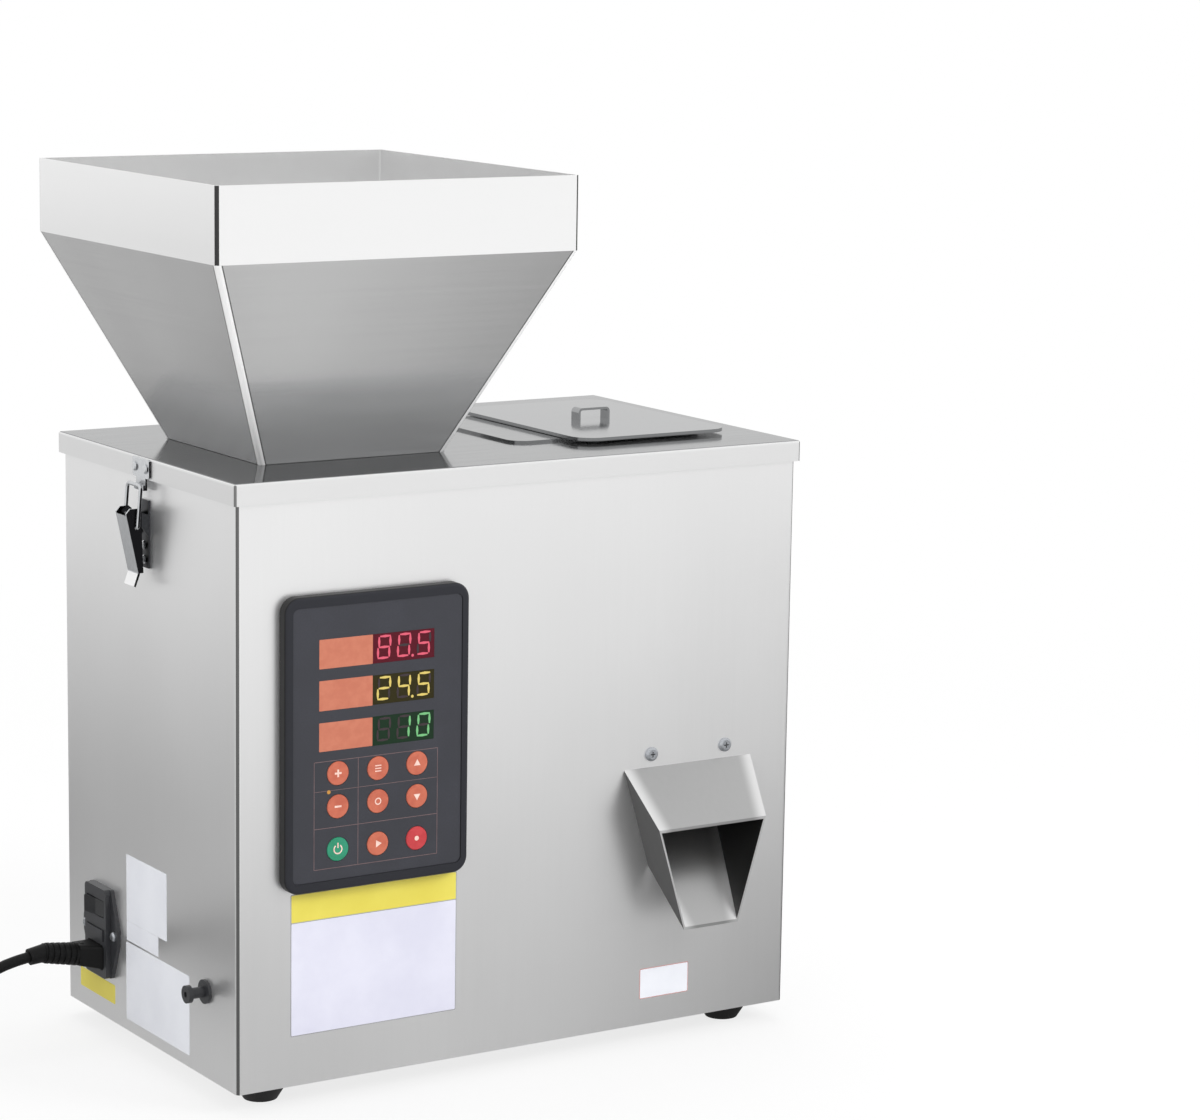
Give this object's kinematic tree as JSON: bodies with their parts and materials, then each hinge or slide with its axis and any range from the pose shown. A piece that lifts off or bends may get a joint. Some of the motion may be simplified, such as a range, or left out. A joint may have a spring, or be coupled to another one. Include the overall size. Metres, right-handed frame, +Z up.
{
  "type": "powder filling machine",
  "caption": "Bench-top vibratory weigh filler with a square hopper, keypad, latched lid, inspection cover and a sloping discharge chute.",
  "frame": {"origin": "on the table, under the middle of the machine without its mains lead", "axes": "+X to the right along the front, +Y from the front to the back, +Z up"},
  "size_m": [0.6365, 0.3124, 0.558],
  "materials": {
    "stainless_brushed": "satin brushed stainless sheet",
    "stainless_lid": "polished stainless sheet",
    "stainless_inner": "plain stainless sheet",
    "latch_chrome": "bright plated steel",
    "zinc_plated": "zinc plated steel",
    "spring_steel": "blued spring steel",
    "cast_block": "painted casting",
    "magnet_core": "laminated iron with a taped coil",
    "panel_black": "moulded, fine grain",
    "panel_face": "matt overlay",
    "display_dark": "smoked window",
    "key_orange": "soft-touch key",
    "key_green": "soft-touch key",
    "key_red": "soft-touch key",
    "board_green": "circuit board",
    "inlet_black": "moulded",
    "rocker_black": "moulded",
    "fuse_glass": "glass tube with metal caps",
    "foot_rubber": "moulded rubber",
    "cord_black": "cord jacket and moulded ends",
    "aluminium_bar": "milled",
    "motor_steel": "turned"
  },
  "bodies": {
    "case": {"case_wrap": "stainless_brushed", "base_plate": "stainless_inner", "rear_panel": "stainless_brushed", "case_screws": "zinc_plated", "rubber_feet": "foot_rubber", "foot_screws": "zinc_plated", "discharge_chute": "stainless_brushed", "panel_bezel": "panel_black", "control_face": "panel_face", "display_modules": "display_dark", "control_board": "board_green", "power_inlet": "inlet_black", "inlet_screws": "zinc_plated", "mains_connector": "cord_black", "pedal_socket": "inlet_black", "feeder_deck": "stainless_inner", "feeder_dampers": "foot_rubber", "feeder_base": "cast_block", "feeder_magnet": "magnet_core", "leaf_springs": "spring_steel", "weigh_bucket": "stainless_inner", "flap_pin": "zinc_plated", "flap_motor": "motor_steel", "motor_bracket": "stainless_inner", "load_cell": "aluminium_bar", "load_cell_post": "stainless_inner", "power_board": "board_green", "cord_tube": "cord_black", "cord_coil": "cord_black", "mains_plug": "cord_black", "latch_bases": "latch_chrome", "latch_rivets": "latch_chrome"},
    "lid": {"lid": "stainless_lid", "cover_seat": "stainless_brushed", "latch_hooks": "latch_chrome"},
    "hopper": {"hopper": "stainless_brushed"},
    "flow_gate": {"flow_gate": "stainless_inner"},
    "inspection_cover": {"inspection_cover": "stainless_lid", "cover_handle": "latch_chrome"},
    "rocker_switch": {"rocker_switch": "rocker_black"},
    "fuse_drawer": {"fuse_drawer": "inlet_black", "fuse": "fuse_glass"},
    "latch_lever_left": {"latch_lever_left": "latch_chrome"},
    "latch_lever_right": {"latch_lever_right": "latch_chrome"},
    "latch_loop_left": {"latch_loop_left": "latch_chrome"},
    "latch_loop_right": {"latch_loop_right": "latch_chrome"},
    "feed_trough": {"feed_trough": "stainless_inner", "trough_carrier": "aluminium_bar", "feeder_armature": "magnet_core"},
    "bucket_flap": {"bucket_flap": "stainless_inner"},
    "flap_crank": {"flap_crank": "motor_steel"},
    "key_plus": {"key_plus": "key_orange"},
    "key_mode": {"key_mode": "key_orange"},
    "key_up": {"key_up": "key_orange"},
    "key_minus": {"key_minus": "key_orange"},
    "key_clear": {"key_clear": "key_orange"},
    "key_down": {"key_down": "key_orange"},
    "key_power": {"key_power": "key_green"},
    "key_feed": {"key_feed": "key_orange"},
    "key_stop": {"key_stop": "key_red"}
  },
  "joints": [
    {"name": "lid_lift", "type": "slide", "parent": "case", "child": "lid", "axis": [0, 0, 1], "range_m": [0, 0.08]},
    {"name": "hopper_lift", "type": "slide", "parent": "lid", "child": "hopper", "axis": [0, 0, 1], "range_m": [0, 0.06]},
    {"name": "gate_slide", "type": "slide", "parent": "hopper", "child": "flow_gate", "axis": [0.4194, 0, 0.9078], "range_m": [-0.008, 0.01]},
    {"name": "cover_lift", "type": "slide", "parent": "lid", "child": "inspection_cover", "axis": [0, 0, 1], "range_m": [0, 0.03]},
    {"name": "rocker_tilt", "type": "hinge", "parent": "case", "child": "rocker_switch", "pos_m": [-0.202, 0.0791, 0.087], "axis": [0, 0, 1], "range_deg": [-16, 0]},
    {"name": "fuse_drawer_slide", "type": "slide", "parent": "case", "child": "fuse_drawer", "axis": [-1, 0, 0], "range_m": [0, 0.02]},
    {"name": "trough_vibration", "type": "slide", "parent": "case", "child": "feed_trough", "axis": [0.9397, 0, 0.342], "range_m": [-0.0008, 0.0008], "stiffness_N_per_m": 20000, "deforming": ["leaf_springs"]},
    {"name": "flap_swing", "type": "hinge", "parent": "case", "child": "bucket_flap", "pos_m": [0.1215, -0.07857, 0.25988], "axis": [-1, 0, 0], "range_deg": [0, 42], "stiffness_Nm_per_rad": 0.02, "springref_deg": -57.3},
    {"name": "crank_turn", "type": "hinge", "parent": "case", "child": "flap_crank", "pos_m": [0.166, -0.04087, 0.27698], "axis": [1, 0, 0], "range_deg": [0, 90]},
    {"name": "latch_lever_left_hinge", "type": "hinge", "parent": "case", "child": "latch_lever_left", "pos_m": [-0.211, 0.01385, 0.35], "axis": [0, 1, 0], "range_deg": [0, 135]},
    {"name": "latch_loop_left_hinge", "type": "hinge", "parent": "latch_lever_left", "child": "latch_loop_left", "pos_m": [-0.21, 0.01385, 0.342], "axis": [0, 1, 0], "range_deg": [-135, 0]},
    {"name": "latch_lever_right_hinge", "type": "hinge", "parent": "case", "child": "latch_lever_right", "pos_m": [0.211, 0.01385, 0.35], "axis": [0, -1, 0], "range_deg": [0, 135]},
    {"name": "latch_loop_right_hinge", "type": "hinge", "parent": "latch_lever_right", "child": "latch_loop_right", "pos_m": [0.21, 0.01385, 0.342], "axis": [0, -1, 0], "range_deg": [-135, 0]},
    {"name": "key_plus_press", "type": "slide", "parent": "case", "child": "key_plus", "axis": [0, 1, 0], "range_m": [0, 0.0004], "stiffness_N_per_m": 400},
    {"name": "key_mode_press", "type": "slide", "parent": "case", "child": "key_mode", "axis": [0, 1, 0], "range_m": [0, 0.0004], "stiffness_N_per_m": 400},
    {"name": "key_up_press", "type": "slide", "parent": "case", "child": "key_up", "axis": [0, 1, 0], "range_m": [0, 0.0004], "stiffness_N_per_m": 400},
    {"name": "key_minus_press", "type": "slide", "parent": "case", "child": "key_minus", "axis": [0, 1, 0], "range_m": [0, 0.0004], "stiffness_N_per_m": 400},
    {"name": "key_clear_press", "type": "slide", "parent": "case", "child": "key_clear", "axis": [0, 1, 0], "range_m": [0, 0.0004], "stiffness_N_per_m": 400},
    {"name": "key_down_press", "type": "slide", "parent": "case", "child": "key_down", "axis": [0, 1, 0], "range_m": [0, 0.0004], "stiffness_N_per_m": 400},
    {"name": "key_power_press", "type": "slide", "parent": "case", "child": "key_power", "axis": [0, 1, 0], "range_m": [0, 0.0004], "stiffness_N_per_m": 400},
    {"name": "key_feed_press", "type": "slide", "parent": "case", "child": "key_feed", "axis": [0, 1, 0], "range_m": [0, 0.0004], "stiffness_N_per_m": 400},
    {"name": "key_stop_press", "type": "slide", "parent": "case", "child": "key_stop", "axis": [0, 1, 0], "range_m": [0, 0.0004], "stiffness_N_per_m": 400}
  ],
  "couplings": [
    {"joint": "crank_turn", "follows": "flap_swing", "ratio": 2.1429},
    {"joint": "latch_loop_left_hinge", "follows": "latch_lever_left_hinge", "ratio": -1},
    {"joint": "latch_loop_right_hinge", "follows": "latch_lever_right_hinge", "ratio": -1}
  ]
}
